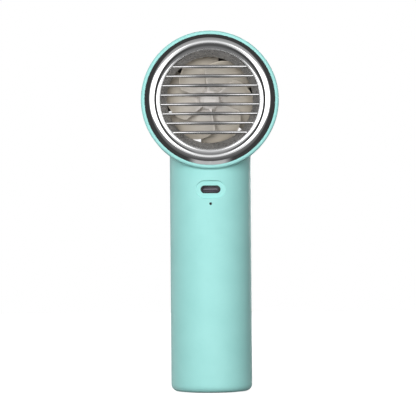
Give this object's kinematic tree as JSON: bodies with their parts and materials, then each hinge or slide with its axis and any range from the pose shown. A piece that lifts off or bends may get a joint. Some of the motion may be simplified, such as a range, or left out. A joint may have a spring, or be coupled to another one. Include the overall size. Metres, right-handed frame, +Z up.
{
  "type": "handheld electric fan",
  "caption": "Handheld electric fan: a short round drum with a barred chrome grille on both faces, on an upright round handle with a charging port and a push button.",
  "frame": {"origin": "centre of the underside of the foot, on the surface that the fan stands on", "axes": "+Z up along the handle; -Y faces the rear (air inlet, charging port), +Y faces the front (air outlet, button); X runs across"},
  "size_m": [0.0646, 0.0488, 0.17],
  "materials": {
    "mint_plastic": "satin moulded ABS, fine grain",
    "chrome_trim": "bright plated plastic, polished",
    "chrome_inner": "bright plated, polished, slightly darker inside",
    "beige_blades": "smooth semi-gloss moulded plastic",
    "grey_moulding": "dark grey inner mouldings",
    "port_steel": "drawn steel sleeve, nickel plated",
    "port_black": "black glass-filled nylon",
    "gold_contacts": "gold flash on copper alloy",
    "circuit_board": "green solder mask on glass fibre",
    "black_chips": "moulded epoxy packages",
    "zinc_screws": "zinc plated",
    "lamp": "clear resin lamp",
    "light_pipe": "clear acrylic rod",
    "rubber_foot": "moulded soft foot, teal grey",
    "motor_steel": "plated steel can",
    "shaft_steel": "ground steel",
    "bush_bronze": "sintered bronze",
    "magnet": "ferrite",
    "core_steel": "laminated core",
    "copper": "enamelled copper wire",
    "carbon": "pressed carbon",
    "cell_wrap": "shrink sleeve over the cell",
    "insulator": "white paper ring",
    "nickel": "pure nickel strip",
    "foam": "soft foam, adhesive backed",
    "red_wire": "silicone insulation",
    "black_wire": "silicone insulation",
    "white_switch": "moulded switch plunger"
  },
  "bodies": {
    "housing": {"rear_shell": "mint_plastic", "front_shell": "mint_plastic", "shell_screws": "zinc_screws", "base_pad": "rubber_foot", "rear_bezel": "chrome_trim", "rear_grille_ring": "chrome_inner", "rear_grille_bars": "chrome_inner", "inlet_funnel": "chrome_inner", "front_bezel": "chrome_trim", "front_grille_ring": "chrome_inner", "front_grille_bars": "chrome_inner", "outlet_funnel": "chrome_inner", "air_duct": "grey_moulding", "guide_vanes": "grey_moulding", "motor_pod": "grey_moulding", "pod_cap": "grey_moulding", "motor_can": "motor_steel", "motor_endcap": "port_black", "motor_rear_bush": "bush_bronze", "motor_front_bush": "bush_bronze", "motor_magnets": "magnet", "motor_brushes": "carbon", "motor_terminals": "gold_contacts", "motor_screws": "zinc_screws", "usb_shell": "port_steel", "usb_tongue": "port_black", "usb_contacts": "gold_contacts", "main_board": "circuit_board", "board_parts": "black_chips", "board_screws": "zinc_screws", "indicator_led": "lamp", "light_pipe": "light_pipe", "button_ring": "chrome_trim", "switch_board": "circuit_board", "switch_body": "black_chips", "switch_screws": "zinc_screws", "battery_cell": "cell_wrap", "cell_insulator": "insulator", "positive_tab": "nickel", "negative_tab": "nickel", "battery_cradle": "grey_moulding", "battery_foam": "foam", "cell_pad": "foam", "motor_lead_red": "red_wire", "motor_lead_black": "black_wire", "battery_lead_red": "red_wire", "battery_lead_black": "black_wire", "switch_leads": "black_wire"},
    "rotor": {"impeller": "beige_blades", "motor_shaft": "shaft_steel", "motor_armature": "core_steel", "motor_windings": "copper", "motor_commutator": "copper"},
    "button": {"power_button": "mint_plastic", "switch_plunger": "white_switch"}
  },
  "joints": [
    {"name": "impeller_spin", "type": "hinge", "parent": "housing", "child": "rotor", "pos_m": [0, 0, 0.1377], "axis": [0, -1, 0], "continuous": true},
    {"name": "button_press", "type": "slide", "parent": "housing", "child": "button", "axis": [0, -1, 0], "range_m": [0, 0.0004], "stiffness_N_per_m": 4000, "springref_m": -0.0002}
  ]
}
